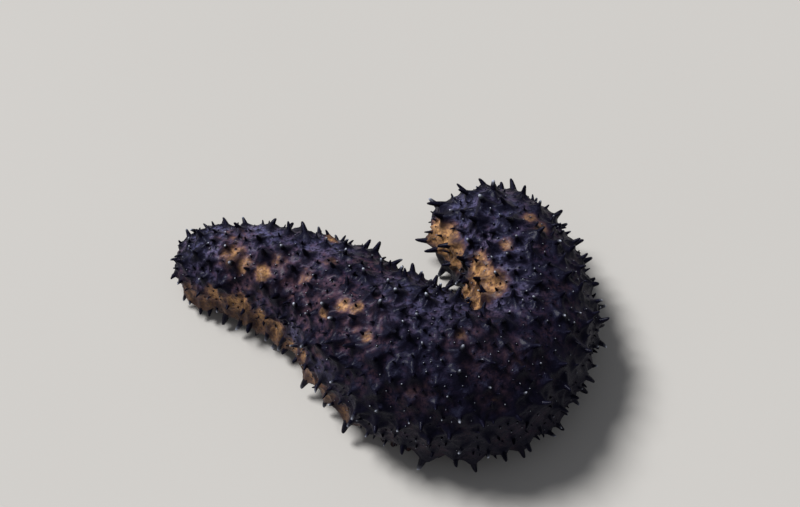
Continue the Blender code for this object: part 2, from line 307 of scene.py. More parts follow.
# %% Large papillae, as in the solids
CUTS = (26 * MM, 60 * MM, 96 * MM, 132 * MM, 170 * MM)
CUT_CLEARANCE = 0.7 * MM
NORMAL_STEP = 0.4 * MM
NORMAL_TURN = math.radians(1.5)
TIP_MARGIN = 0.05 * MM
PAPILLA_SEED = 12
PAPILLA_TRIES = 9000
PAPILLA_SPACING = 6.1 * MM
PAPILLA_SPACING_MOUTH = 3.5 * MM
MOUTH_ZONE = 22 * MM
VENT_ZONE = 30 * MM
PAPILLA_LOWEST = 102
PAPILLA_HEIGHT = 3.9 * MM
PAPILLA_HEIGHT_MOUTH = 2.6 * MM
PAPILLA_HEIGHT_VENT = 4.9 * MM
PAPILLA_GROWTH = (0.75, 1.3)
PAPILLA_LEAN = 0.16
PAPILLA_VENT_SWEEP = 0.7
PAPILLA_FLOOR_GAP = 1.0 * MM
PAPILLA_FAR = 14 * MM
PAPILLA_SLIMNESS = 0.72
# seed, angle in degrees, pitch, height, slimness, droop
MARGIN_ROW = (4, 115, 8.2 * MM, 5.6 * MM, 0.95, 0.35)
FLANK_ROW = (6, 100, 5.0 * MM, 4.0 * MM, 0.75, 0.10)
MARGIN_SPACING = 4.1 * MM
FLANK_SPACING = 4.4 * MM
ROW_WANDER = 5
ROW_JITTER = 1.2 * MM
ROW_FIRST = 8 * MM
ROW_LAST = 5 * MM
ROW_MOUTH = 0.55
ROW_GROWTH = (0.85, 1.2)


def skin_normal(distance, angle):
    """Outward direction of the skin at a distance and an angle."""
    low = max(distance - NORMAL_STEP, TIP_MARGIN)
    high = min(distance + NORMAL_STEP, LENGTH - TIP_MARGIN)
    along = skin_point(high, angle) - skin_point(low, angle)
    around = skin_point(distance, angle + NORMAL_TURN) - skin_point(distance, angle - NORMAL_TURN)
    return along.cross(around).normalized()


def cut_offset(point, cut):
    """Signed distance of a point past a cut's plane, along the heading."""
    x, y, heading = midline(cut)
    return (point.x - x) * math.cos(heading) + (point.y - y) * math.sin(heading)


def clears_cuts(distance, points, margin):
    """Whether the points stay inside their own length, clear of its two cuts."""
    index = sum(distance > cut for cut in CUTS)
    for cut in CUTS[max(index - 1, 0):index + 1]:
        side = 1 if distance > cut else -1
        if any(cut_offset(point, cut) * side < margin for point in points):
            return False
    return True


def room_beside(distance, angle, tip):
    """Free room between a papilla's tip and any other stretch of the body."""
    room = PAPILLA_FAR
    for index in range(round(LENGTH / BEND_STEP)):
        other = index * BEND_STEP
        full = fullness(other)
        if abs(other - distance) < PAPILLA_FAR or full == 0:
            continue
        x, y, _ = midline(other)
        half_width = smooth_value(GIRTHS, other)
        level = math.hypot(tip.x - x, tip.y - y) / (half_width * full)
        middle = SOLE_LIFT + SOLE_DROP * half_width
        upright = (tip.z - middle) / (half_width * full * BACK_RISE)
        room = min(room, (math.hypot(level, upright) - 1) * half_width * full)
    if angle > 0:
        x, y, heading = midline(distance)
        lateral = (tip.y - y) * math.cos(heading) - (tip.x - x) * math.sin(heading)
        room = min(room, fold_room(distance) - lateral)
    return room


def near_mouth(distance):
    """Share from 0 on the body to 1 at the mouth."""
    return max(0.0, 1 - distance / MOUTH_ZONE)


def near_vent(distance):
    """Share from 0 on the body to 1 at the vent."""
    return max(0.0, 1 - (LENGTH - distance) / VENT_ZONE)


def vent_sweep(distance):
    """Lean of the papillae towards the tail, only near the vent."""
    heading = midline(distance)[2]
    behind = Vector((math.cos(heading), math.sin(heading), 0))
    return behind * PAPILLA_VENT_SWEEP * near_vent(distance)


def papilla_at(distance, angle, height, lean, kind):
    """The facts of one papilla: its root, its axis and how it bends."""
    return {
        "distance": distance,
        "angle": angle,
        "root": skin_point(distance, angle),
        "axis": (skin_normal(distance, angle) + lean).normalized(),
        "height": height,
        "lean": lean,
        "kind": kind,
    }


def grow_papilla(found, width, placed, spacing):
    """Keep a papilla unless it would crowd another one, a cut or the body."""
    root = found["root"]
    if any((root - other["root"]).length < spacing for other in placed):
        return
    tip = root + found["axis"] * found["height"]
    if tip.z < PAPILLA_FLOOR_GAP:
        return
    distance = found["distance"]
    if not clears_cuts(distance, (root,), width / 2 + CUT_CLEARANCE):
        return
    if not clears_cuts(distance, (tip,), CUT_CLEARANCE):
        return
    if room_beside(distance, found["angle"], tip) < CUT_CLEARANCE:
        return
    placed.append(found)


def set_row(placed, row, spacing, kind, last=LENGTH - ROW_LAST):
    """A row of papillae low along each side."""
    seed, row_angle, pitch, row_height, slimness, droop = row
    rng = random.Random(seed)
    lean = Vector((0, 0, -droop))
    for side in (-1, 1):
        distance = ROW_FIRST
        while distance < last:
            here = distance + rng.uniform(-1, 1) * ROW_JITTER
            angle = side * math.radians(row_angle + rng.uniform(-ROW_WANDER, ROW_WANDER))
            size = 1 - (1 - ROW_MOUTH) * near_mouth(here)
            height = row_height * rng.uniform(*ROW_GROWTH) * size
            found = papilla_at(here, angle, height, lean, kind)
            grow_papilla(found, height * slimness, placed, spacing * size)
            distance += pitch * size


def strewn_papillae(placed):
    """Large papillae over the back and the sides."""
    rng = random.Random(PAPILLA_SEED)
    lowest = math.radians(PAPILLA_LOWEST)
    for _ in range(PAPILLA_TRIES):
        distance = rng.uniform(0, LENGTH)
        angle = rng.uniform(-lowest, lowest)
        chance = rng.random()
        growth = rng.uniform(*PAPILLA_GROWTH)
        lean = Vector(rng.gauss(0, PAPILLA_LEAN) for _ in range(3)) + vent_sweep(distance)
        half_width = smooth_value(GIRTHS, distance) * fullness(distance)
        if chance > half_width / widest or fullness(distance) < PIT_WIDTH:
            continue
        height = PAPILLA_HEIGHT
        height += (PAPILLA_HEIGHT_MOUTH - height) * near_mouth(distance)
        height += (PAPILLA_HEIGHT_VENT - height) * near_vent(distance)
        height *= growth
        spacing = PAPILLA_SPACING
        spacing += (PAPILLA_SPACING_MOUTH - spacing) * near_mouth(distance)
        found = papilla_at(distance, angle, height, lean, "large")
        grow_papilla(found, height * PAPILLA_SLIMNESS, placed, spacing)


papillae = []
set_row(papillae, MARGIN_ROW, MARGIN_SPACING, "margin")
print("margin papillae:", len(papillae))
strewn_papillae(papillae)
set_row(papillae, FLANK_ROW, FLANK_SPACING, "large")
print("with the large ones:", len(papillae))

# %% [markdown]
# ## Smaller papillae in the gaps
# Between the large papillae the real skin is never bare: middling ones stand there, and low
# warts between those, and a fringe of thin ones hangs low on both sides of the mouth end.
# They are too many for the solids, so they come in here, over the cuts too.  Asking every
# papilla about every other one takes long with thousands of tries, so they are kept in boxes
# of space, and only the boxes round a new one are asked.

# %% Middling and small papillae
# the same facts of a row as above
FRINGE_ROW = (8, 108, 1.7 * MM, 5.0 * MM, 0.5, 0.25)
FRINGE_SPACING = 3.0 * MM
FRINGE_LAST = 52 * MM
FILL_SEED = 31
FILL_BOX = 4 * MM
FILL_GROWTH = (0.7, 1.25)
FILL_LEAN = 0.2
FILL_SHARE_LOWEST = 0.36
# kind, tries, spacing, height, and how much of the spacing is left at the mouth
FILLS = (
    ("middling", 7000, 3.9 * MM, 2.1 * MM, 0.7),
    ("small", 12000, 2.2 * MM, 0.8 * MM, 0.9),
)


def box_of(place):
    """The box of space that a place falls in."""
    return tuple(math.floor(value / FILL_BOX) for value in place)


def is_crowded(place, spacing, boxes):
    """Whether another root stands within the spacing."""
    x, y, z = box_of(place)
    near = (
        boxes.get((x + i, y + j, z + k), ())
        for i in (-1, 0, 1)
        for j in (-1, 0, 1)
        for k in (-1, 0, 1)
    )
    return any((place - other).length < spacing for group in near for other in group)


def fill_papillae(placed):
    """Strew smaller papillae wherever there is still room."""
    rng = random.Random(FILL_SEED)
    boxes = {}
    for found in placed:
        boxes.setdefault(box_of(found["root"]), []).append(found["root"])
    for kind, tries, spacing, height, at_mouth in FILLS:
        for _ in range(tries):
            distance = rng.uniform(0, LENGTH)
            angle = angle_at(rng.uniform(-FILL_SHARE_LOWEST, FILL_SHARE_LOWEST))
            growth = rng.uniform(*FILL_GROWTH)
            lean = Vector(rng.gauss(0, FILL_LEAN) for _ in range(3)) + vent_sweep(distance)
            if fullness(distance) < PIT_WIDTH:
                continue
            room = spacing * (1 - (1 - at_mouth) * near_mouth(distance))
            if is_crowded(skin_point(distance, angle), room, boxes):
                continue
            found = papilla_at(distance, angle, height * growth, lean, kind)
            tip = found["root"] + found["axis"] * found["height"]
            if tip.z < PAPILLA_FLOOR_GAP or room_beside(distance, angle, tip) < CUT_CLEARANCE:
                continue
            placed.append(found)
            boxes.setdefault(box_of(found["root"]), []).append(found["root"])


set_row(papillae, FRINGE_ROW, FRINGE_SPACING, "middling", FRINGE_LAST)
fill_papillae(papillae)
for kind in ("margin", "large", "middling", "small"):
    print(kind, "papillae:", sum(found["kind"] == kind for found in papillae))

# %% [markdown]
# ## A sphere becomes a skin
# A closed tube with round ends is a sphere that has been drawn out.  So the skin starts as a
# sphere from one bmesh operator: each ring of it goes to a distance along the body, and each
# step round the ring goes to a share of the section's outline.  The rings lie closer at the
# two ends, where the ring's width changes fast.

# %% The skin's first shape
SKIN_SIDES = 216
SKIN_RINGS = 440
END_RINGS = 0.045


def ring_distance(share):
    """Distance along the body for a share of the rings, with slow starts at both ends."""
    if share > 0.5:
        return LENGTH - ring_distance(1 - share)
    slow = share * share / (2 * END_RINGS) if share < END_RINGS else share - END_RINGS / 2
    return LENGTH * slow / (1 - END_RINGS)


def draw_skin():
    """A sphere drawn out along the midline. Returns it with each vertex's own place."""
    shape = bmesh.new()
    bmesh.ops.create_uvsphere(shape, u_segments=SKIN_SIDES, v_segments=SKIN_RINGS, radius=1)
    places = []
    for vert in shape.verts:
        turn = math.acos(max(-1.0, min(1.0, vert.co.z)))
        distance = ring_distance(turn / math.pi)
        share = math.atan2(vert.co.y, vert.co.x) / math.tau
        places.append((distance, share))
    for vert, (distance, share) in zip(shape.verts, places):
        vert.co = skin_point(distance, angle_at(share))
    bmesh.ops.recalc_face_normals(shape, faces=shape.faces)
    shape.normal_update()
    return shape, places


skin_shape, skin_places = draw_skin()
print("skin:", len(skin_shape.verts), "vertices,", len(skin_shape.faces), "faces")

# %% [markdown]
# ## Folds, lumps and puckers
# A living skin that is drawn together lies in low folds across the body, with lumps where
# the wall is thick, and it puckers round the two openings.  A bump map could fake the finest
# of it, but folds show on the outline, so they are moved in the mesh.  Noise gives each kind
# of relief its size, and each point is pushed along its own normal.

# %% Relief of the wall
FOLD_PITCH = 2.6 * MM
FOLD_TURNS = 2.4
FOLD_DEPTH = 0.28 * MM
LUMP_SIZE = 5.5 * MM
LUMP_DEPTH = 0.55 * MM
WART_SIZE = 1.7 * MM
WART_LEVEL = 0.5
WART_DEPTH = 0.22 * MM
PUCKERS = 11
PUCKER_DEPTH = 0.6 * MM
PUCKER_REACH = 0.75
PUCKER_FADE = 4
PUCKER_WANDER = 2


def wall_relief(distance, angle, point):
    """How far the wall stands out at a place, in metres."""
    turned = Vector((math.cos(angle), math.sin(angle), 0)) * FOLD_TURNS
    turned.z = distance / FOLD_PITCH
    fold = noise.noise(turned) * FOLD_DEPTH
    lump = noise.noise(point / LUMP_SIZE) * LUMP_DEPTH
    wart = (WART_LEVEL - noise.voronoi(point / WART_SIZE)[0][0]) * WART_DEPTH
    full = fullness(distance)
    near = max(0.0, 1 - full / PUCKER_REACH) * min(1.0, full * PUCKER_FADE)
    wander = noise.noise(point / LUMP_SIZE) * PUCKER_WANDER
    pucker = math.sin(PUCKERS * angle + wander) * near * PUCKER_DEPTH
    return fold + lump + wart + pucker


reliefs = [
    wall_relief(distance, angle_at(share), vert.co)
    for vert, (distance, share) in zip(skin_shape.verts, skin_places)
]
print("relief from", round(min(reliefs) / MM, 2), "to", round(max(reliefs) / MM, 2), "mm")

# %% [markdown]
# ## Skirts round the papillae
# A papilla isn't stuck on: the skin is drawn up round its foot like a tent round its pole.
# The skirts are therefore part of the skin's own mesh.  A tree of roots finds, for each
# point of the skin, the papillae that are near enough to lift it, and the lift is along the
# papilla's axis.  A slow wave round the root gives each skirt a few buttresses.  How far up
# a skirt a point lies is kept too, because the skirts of the real animal turn black upwards.

# %% Skirts
SKIRT_STAR = 0.24
SKIRT_STAR_SEED = 8
SKIRT_BUTTRESSES = (3, 5)
# shares of the way up a skirt between which it turns black
DARK_FROM = 0.08
DARK_FULL = 0.52
# kind: skirt radius and skirt height as shares of the papilla's height, and how it flares
SKIRTS = {
    "margin": (0.92, 0.70, 1.35),
    "large": (1.0, 0.64, 1.6),
    "middling": (1.0, 0.55, 1.7),
    "small": (1.35, 0.65, 1.5),
}


def eased(value, low, high):
    """A smooth step from 0 at low to 1 at high."""
    share = min(1.0, max(0.0, (value - low) / (high - low)))
    return share * share * (3 - 2 * share)


def dress_papillae(placed):
    """Give each papilla its skirt's size and its buttresses."""
    rng = random.Random(SKIRT_STAR_SEED)
    for found in placed:
        radius, height, flare = SKIRTS[found["kind"]]
        found["skirt_radius"] = radius * found["height"]
        found["skirt_height"] = height * found["height"]
        found["flare"] = flare
        found["buttresses"] = rng.randint(*SKIRT_BUTTRESSES)
        found["turn"] = rng.uniform(0, math.tau)
        found["stand"] = found["axis"].to_track_quat("Z", "Y").to_matrix()


def skirt_lift(point, found):
    """Lift of one skirt at a point, and how far up the skirt the point is."""
    local = (point - found["root"]) @ found["stand"]
    wave = math.sin(found["buttresses"] * math.atan2(local.y, local.x) + found["turn"])
    gap = (point - found["root"]).length
    share = 1 - gap / (found["skirt_radius"] * (1 + SKIRT_STAR * wave))
    if share <= 0:
        return Vector(), 0.0
    return found["axis"] * found["skirt_height"] * share ** found["flare"], share


dress_papillae(papillae)
root_tree = kdtree.KDTree(len(papillae))
for index, found in enumerate(papillae):
    root_tree.insert(found["root"], index)
root_tree.balance()
skirt_reach = max(found["skirt_radius"] for found in papillae) * (1 + SKIRT_STAR)
lifts = []
darkness = []
for vert in skin_shape.verts:
    lift = Vector()
    dark = 0.0
    for _, index, gap in root_tree.find_range(vert.co, skirt_reach):
        if gap < papillae[index]["skirt_radius"] * (1 + SKIRT_STAR):
            more, share = skirt_lift(vert.co, papillae[index])
            lift += more
            dark = max(dark, eased(share, DARK_FROM, DARK_FULL))
    lifts.append(lift)
    darkness.append(dark)
print("highest lift", round(max(lift.length for lift in lifts) / MM, 2), "mm")

# %% [markdown]
# ## Patches of colour
# The animal is black and purple, but ochre skin shows through on the flank, along the lower
# margin and on the inside of the tail's curl.  Lilac patches paint a sheen on lit skin, and
# black patches paint shade over the right side, which lies away from the light.
# Where each patch lies is stated on the body itself, by its distance from the mouth end and
# its angle, and is written to the mesh as attributes that the material reads.  The papillae
# later read the same patches at their roots, so they carry the markings of the skin.

# %% Pigment patches
# distance from the mouth end in mm, angle in degrees, radius in mm, strength
OCHRE_PATCHES = (
    (22, -10, 5.0, 0.68), (27, -22, 4.0, 0.64), (34, -27, 3.2, 0.95), (30, -40, 12, 0.22),
    (45, -20, 12, 0.20), (60, -30, 12, 0.20), (78, -15, 12, 0.20), (20, 12, 9, 0.26),
    (100, -45, 6, 0.30), (115, -42, 6, 0.28), (112, -5, 10, 0.20), (122, -20, 9, 0.20),
    (38, -8, 3.5, 0.45), (27, -82, 5.0, 1.1), (18, -80, 4.5, 0.9), (38, -87, 4.5, 0.9),
    (46, -92, 5.0, 0.9), (58, -94, 5.0, 0.9), (68, -86, 4.5, 0.8), (77, -96, 5.0, 0.75),
    (86, -102, 5.0, 0.75), (48, 45, 2.2, 0.8), (54, 10, 2.4, 0.5), (50, -15, 3.5, 0.45),
    (70, -15, 3.0, 0.8), (74, -10, 3.0, 0.8), (67, -30, 2.4, 0.8), (83, -22, 2.2, 0.9),
    (73, -60, 3.0, 0.4), (108, 5, 2.6, 0.6), (199, 40, 5.5, 1.15), (194, 58, 6.5, 1.25),
    (189, 70, 6.0, 1.2), (166, 52, 5.0, 0.9), (160, 54, 6.0, 1.0), (152, 42, 6.0, 1.0),
    (150, 62, 6.0, 0.9), (158, 85, 7.0, 0.9), (166, 14, 2.6, 0.7), (172, -21, 3.0, 0.6),
    (168, -24, 3.0, 0.7),
)
# first and last distance, pitch, then the rest of each patch of the row
FLANK_OCHRE = (9, 92, 7, -103, 7.5, 0.62)
# painted sheen: lilac patches that lighten the skin where the light catches it
PAINTED_SHEEN_PATCHES = (
    (12, 20, 12, 1.0), (26, 38, 11, 1.0), (46, 30, 12, 0.7), (15, -85, 10, 0.7),
    (36, -86, 10, 0.6), (56, -88, 11, 0.6), (76, -88, 11, 0.4), (94, 36, 12, 0.8),
    (88, 25, 16, 0.6), (186, 39, 10, 0.8), (190, -15, 14, 0.8), (164, 22, 10, 0.8),
    (146, 25, 10, 0.9), (178, 0, 12, 0.5),
)
# painted shade: patches that turn the right side black, as it lies away from the light
PAINTED_SHADE_PATCHES = (
    (110, -50, 34, 0.9), (130, -70, 34, 1.0), (145, -60, 30, 0.9), (92, -70, 20, 0.8),
    (162, -60, 24, 0.6),
)
PATCH_SOFTNESS = 1.3
PATCH_SPREAD = 1.3
# share of a skirt's black that full ochre takes away
OCHRE_CLEARS = 0.45
# shares of the outline between which the flank passes into the paler sole
UNDER_FROM = 0.27
UNDER_FULL = 0.40
# the second is painted sheen and the third painted shade; the rest are the skin's own colour
ATTRIBUTES = ("ochre", "painted_sheen", "painted_shade", "under", "dark", "pale")


def patch_tree(patches):
    """A tree of the patches' centres, with the patches and their widest reach."""
    tree = kdtree.KDTree(len(patches))
    for index, (distance, angle, _, _) in enumerate(patches):
        tree.insert(skin_point(distance * MM, math.radians(angle)), index)
    tree.balance()
    reach = max(radius for _, _, radius, _ in patches) * PATCH_SPREAD * MM
    return tree, patches, reach


def flank_patches():
    """A row of ochre patches low on the right flank."""
    first, last, pitch, *rest = FLANK_OCHRE
    return tuple((distance, *rest) for distance in range(first, last, pitch))


# ochre is pigment; the second is painted sheen and the third painted shade
PIGMENTS_AND_PAINTED_LIGHT = {
    "ochre": patch_tree(OCHRE_PATCHES + flank_patches()),
    "painted_sheen": patch_tree(PAINTED_SHEEN_PATCHES),
    "painted_shade": patch_tree(PAINTED_SHADE_PATCHES),
}


def pigment_or_painted_light(name, point):
    """Strength of one patch layer at a point of the skin: ochre pigment, painted sheen or painted
    shade.
    """
    tree, patches, reach = PIGMENTS_AND_PAINTED_LIGHT[name]
    most = 0.0
    for _, index, gap in tree.find_range(point, reach):
        _, _, radius, strength = patches[index]
        share = gap / (radius * PATCH_SPREAD * MM)
        if share < 1:
            most = max(most, strength * (1 - share * share) ** PATCH_SOFTNESS)
    return most


def markings_at(point, share):
    """All the pigments, the painted sheen and the painted shade at a point of the skin, by name.
    """
    found = {name: pigment_or_painted_light(name, point) for name in PIGMENTS_AND_PAINTED_LIGHT}
    found["under"] = eased(abs(share), UNDER_FROM, UNDER_FULL)
    return found


for name, (_, patches, _) in PIGMENTS_AND_PAINTED_LIGHT.items():
    print(name, "patches:", len(patches))

# %% [markdown]
# ## Moving the skin, and unwrapping it
# Now the points move: first by the relief along the normal, then by the skirts.  The floor
# side stays above the floor.  The unwrap is plain, because every point knows its share round
# the body and its distance along it.  Only faces across the seam under the sole need care:
# their far corners are moved on by one whole turn, or the face would span the whole map.

# %% The finished skin
UV_NAME = "OFBake"
SOLE_GAP = 0.3 * MM


def add_attributes(shape):
    """Number layers on the vertices for the material to read."""
    return {name: shape.verts.layers.float.new(name) for name in ATTRIBUTES}


def unwrap(faces, layer, around, along):
    """Write each face's corners to the map, whole even across the seam."""
    for face in faces:
        turns = {}
        for loop in face.loops:
            if loop.vert in around:
                turns[loop.vert] = around[loop.vert]
        first = min(turns.values())
        if max(turns.values()) - first > 0.5:
            turns = {vert: turn + (turn - first < 0.5) for vert, turn in turns.items()}
        middle = sum(turns.values()) / len(turns)
        for loop in face.loops:
            loop[layer].uv = (turns.get(loop.vert, middle), along[loop.vert])


def finish_skin(shape):
    """Move the skin's points, write its markings and its map, and make the object."""
    layers = add_attributes(shape)
    uv_layer = shape.loops.layers.uv.new(UV_NAME)
    around = {}
    along = {}
    for index, vert in enumerate(shape.verts):
        distance, share = skin_places[index]
        markings = markings_at(vert.co, share)
        markings["dark"] = darkness[index] * (1 - OCHRE_CLEARS * min(1, markings["ochre"]))
        for name, value in markings.items():
            vert[layers[name]] = value
        along[vert] = distance / LENGTH
        if 0 < distance < LENGTH:
            around[vert] = share + 0.5
    for index, vert in enumerate(shape.verts):
        vert.co += vert.normal * reliefs[index] + lifts[index]
        vert.co.z = max(vert.co.z, SOLE_GAP)
    unwrap(shape.faces, uv_layer, around, along)
    for face in shape.faces:
        face.smooth = True
    return piece_from(shape, "skin")


def piece_from(shape, name):
    """An object at the origin from a bmesh."""
    mesh = bpy.data.meshes.new(name)
    shape.to_mesh(mesh)
    shape.free()
    return add_object(name, mesh)


skin = finish_skin(skin_shape)
print("skin:", sum(len(face.vertices) - 2 for face in skin.data.polygons), "triangles")

# %% [markdown]
# ## The fingers of the papillae
# Out of each skirt stands a blunt black finger that bends a little.  A cone would do, but a
# sphere gives a round tip for the same faces: its rings are sent to the stations of a short
# profile.  Hundreds of them share one mesh, and each has only a few dozen faces.  What makes
# a turned form and sets it on its root comes first, since the tube feet need it too.

# %% A turned form on a root
FORM_PATCH = 0.004


def empty_shape():
    """A bmesh with the skin's layers and nothing in it yet."""
    shape = bmesh.new()
    add_attributes(shape)
    shape.loops.layers.uv.new(UV_NAME)
    return shape


def form_template(name, sides, rings):
    """A small sphere with the skin's layers, to be shaped again and again."""
    shape = empty_shape()
    bmesh.ops.create_uvsphere(shape, u_segments=sides, v_segments=rings, radius=1)
    bmesh.ops.recalc_face_normals(shape, faces=shape.faces)
    for face in shape.faces:
        face.smooth = True
    mesh = bpy.data.meshes.new(name)
    shape.to_mesh(mesh)
    shape.free()
    return mesh


def add_form(shape, template, stations, found, place, wear):
    """Turn a profile of heights and radii, put it in place and add it to a mesh."""
    form = bmesh.new()
    form.from_mesh(template)
    layers = {name: form.verts.layers.float[name] for name in ATTRIBUTES}
    uv_layer = form.loops.layers.uv[UV_NAME]
    share = share_at(found["angle"])
    markings = markings_at(found["root"], share)
    around = {}
    along = {}
    for vert in form.verts:
        turn = math.acos(max(-1.0, min(1.0, vert.co.z)))
        step = len(stations) - 1 - round(turn / math.pi * (len(stations) - 1))
        up, wide = stations[step]
        flat = Vector((vert.co.x, vert.co.y, 0))
        if wide:
            flat = flat.normalized() * wide
            around[vert] = math.atan2(vert.co.y, vert.co.x) / math.tau + 0.5
        along[vert] = step / (len(stations) - 1)
        for name, value in (markings | wear(up)).items():
            vert[layers[name]] = value
        vert.co = place(flat, up)
    unwrap(form.faces, uv_layer, around, along)
    middle = Vector((share, found["distance"] / LENGTH - 0.5))
    for face in form.faces:
        for loop in face.loops:
            uv = loop[uv_layer].uv - Vector((0.5, 0.5))
            loop[uv_layer].uv = middle + uv * FORM_PATCH + Vector((0.5, 0.5))
    mesh = bpy.data.meshes.new("form")
    form.to_mesh(mesh)
    form.free()
    shape.from_mesh(mesh)
    bpy.data.meshes.remove(mesh)


print("a form takes a patch of", FORM_PATCH, "of the map")

# %% [markdown]
# ## Turning the fingers
# The fingers of the big papillae are one piece and the finer ones another.  Each finger
# leans and curls more towards its tip, and one that would dip under the floor lies on it.
# About a third end in a pale speck, which is what glitters over the dark side of the animal.

# %% Fingers
FINGER_SEED = 77
# height share, radius share, from the root's end to the tip
FINGER_PROFILE = (
    (-0.05, 0.0), (-0.05, 1.25), (0.25, 1.0), (0.48, 0.80), (0.70, 0.62), (0.88, 0.46),
    (0.97, 0.27), (1.0, 0.0),
)
FINGER_RADIUS = 0.26
FINGER_RADIUS_LEAST = 0.34 * MM
FINGER_FLOOR = 0.1 * MM
FINGER_BEND = 0.5
FINGER_CURL = 0.14
# shares of the height between which a finger turns black
FINGER_DARK = (-0.02, 0.3)
PALE_FROM = 0.84
PALE_SHARE = 0.35
PALE_STRENGTH = (0.4, 1)
# kind: sides round the finger
FINGER_SIDES = {"margin": 8, "large": 8, "middling": 7, "small": 6}


def grow_finger(shape, template, found, rng):
    """Add one finger to the mesh of all fingers."""
    height = found["height"]
    radius = max(height * FINGER_RADIUS, FINGER_RADIUS_LEAST)
    curl = Vector((rng.gauss(0, FINGER_CURL), rng.gauss(0, FINGER_CURL), 0)) * height
    pale = rng.uniform(*PALE_STRENGTH) if rng.random() < PALE_SHARE else 0

    def place(flat, up):
        bent = max(up / height, 0) ** 2
        local = flat + Vector((0, 0, up)) + curl * bent
        lean = found["lean"] * height * FINGER_BEND * bent
        point = found["root"] + found["stand"] @ local + lean
        point.z = max(point.z, FINGER_FLOOR)
        return point

    def wear(up):
        tip = eased(up / height, PALE_FROM, 1.0)
        return {"dark": eased(up / height, *FINGER_DARK), "pale": pale * tip}

    stations = [(up * height, wide * radius) for up, wide in FINGER_PROFILE]
    add_form(shape, template, stations, found, place, wear)


def grow_fingers(name, kinds):
    """All the fingers of some kinds, as one piece."""
    rng = random.Random(FINGER_SEED)
    shape = empty_shape()
    rings = len(FINGER_PROFILE) - 1
    for kind in kinds:
        template = form_template(f"{kind}_finger", FINGER_SIDES[kind], rings)
        for found in papillae:
            if found["kind"] == kind:
                grow_finger(shape, template, found, rng)
    return piece_from(shape, name)


large_fingers = grow_fingers("large_papillae", ("margin", "large"))
small_fingers = grow_fingers("small_papillae", ("middling", "small"))
for piece in (large_fingers, small_fingers):
    print(piece.name, len(piece.data.polygons), "faces")

# %% [markdown]
# ## Tube feet
# Under the sole the animal creeps on hundreds of tube feet, in three bands.  Each is a short
# stalk with a sucker.  They are strewn like the papillae, and drawn from the skin straight
# down to the floor, so that the animal stands on all of them at once.  The same turned form
# makes them, with a profile that widens at the floor.

# %% Feet
FOOT_SEED = 5
FOOT_BANDS = (-144, 180, 144)
FOOT_BAND_WIDTH = 13
FOOT_TRIES = 4000
FOOT_SPACING = 2.5 * MM
FOOT_DISC = 0.9 * MM
FOOT_STALK = 0.5 * MM
FOOT_SINK = 0.8 * MM
FOOT_FIRST = 7 * MM
FOOT_LAST = 9 * MM
FOOT_SIDES = 8
# height over the floor and radius: in disc radii, and higher up in shares of the foot's
# height and in stalk radii
FOOT_SOLE = ((0.0, 0.0), (0.0, 0.85), (0.22, 1.0), (0.5, 0.9), (0.8, 0.6))
FOOT_TOP = ((0.6, 1.0), (1.0, 1.2), (1.0, 0.0))


def stand_feet():
    """Places of the tube feet under the sole."""
    rng = random.Random(FOOT_SEED)
    placed = []
    for _ in range(FOOT_TRIES):
        distance = rng.uniform(FOOT_FIRST, LENGTH - FOOT_LAST)
        band = rng.choice(FOOT_BANDS)
        angle = math.radians(band + rng.uniform(-FOOT_BAND_WIDTH, FOOT_BAND_WIDTH))
        angle = (angle + math.pi) % math.tau - math.pi
        root = skin_point(distance, angle)
        if not any((root - other["root"]).length < FOOT_SPACING for other in placed):
            placed.append({"distance": distance, "angle": angle, "root": root})
    return placed


def grow_foot(shape, template, found):
    """Add one tube foot to the mesh of all feet."""
    top = found["root"].z + FOOT_SINK

    def place(flat, up):
        return Vector((found["root"].x, found["root"].y, up)) + flat

    def wear(up):
        return {"dark": 0.0, "pale": 0.0}

    stations = [(up * FOOT_DISC, wide * FOOT_DISC) for up, wide in FOOT_SOLE]
    stations += [(up * top, wide * FOOT_STALK) for up, wide in FOOT_TOP]
    add_form(shape, template, stations, found, place, wear)


def grow_feet():
    """All the tube feet, as one piece."""
    shape = empty_shape()
    template = form_template("foot", FOOT_SIDES, len(FOOT_SOLE) + len(FOOT_TOP) - 1)
    placed = stand_feet()
    for found in placed:
        grow_foot(shape, template, found)
    print("tube feet:", len(placed))
    return piece_from(shape, "tube_feet")


feet = grow_feet()

# %% [markdown]
# ## Colours, and helpers for nodes
# The colours are those of the wet skin in soft light.  The helpers keep the node trees
# short: each adds one node, sets it up and links what goes into it.

# %% Node helpers
BLACK = (0.0025, 0.0018, 0.0060, 1)
PLUM = (0.017, 0.011, 0.034, 1)
BROWN = (0.078, 0.038, 0.050, 1)
ROSE = (0.085, 0.044, 0.056, 1)
# the lilac of the painted sheen
SHEEN_LILAC = (0.120, 0.120, 0.240, 1)
OCHRE_DEEP = (0.250, 0.125, 0.075, 1)
OCHRE = (0.600, 0.325, 0.130, 1)
UNDER = (0.120, 0.062, 0.040, 1)
SPECK = (0.62, 0.66, 0.78, 1)


def add_node(tree, kind, inputs=None, **settings):
    """A node with its settings, and its inputs as values or as sockets to link."""
    made = tree.nodes.new(kind)
    for name, value in settings.items():
        setattr(made, name, value)
    for name, value in (inputs or {}).items():
        if isinstance(value, bpy.types.NodeSocket):
            tree.links.new(value, made.inputs[name])
        else:
            made.inputs[name].default_value = value
    return made


def add_noise(tree, where, size, detail, roughness):
    """Noise with features of a real size, in metres."""
    values = {"Vector": where, "Scale": 1 / size, "Detail": detail, "Roughness": roughness}
    return add_node(tree, "ShaderNodeTexNoise", values).outputs["Fac"]


def add_range(tree, value, low, high):
    """A smooth step of a value from 0 at low to 1 at high."""
    values = {"Value": value, "From Min": low, "From Max": high}
    made = add_node(tree, "ShaderNodeMapRange", values, interpolation_type="SMOOTHSTEP")
    return made.outputs["Result"]


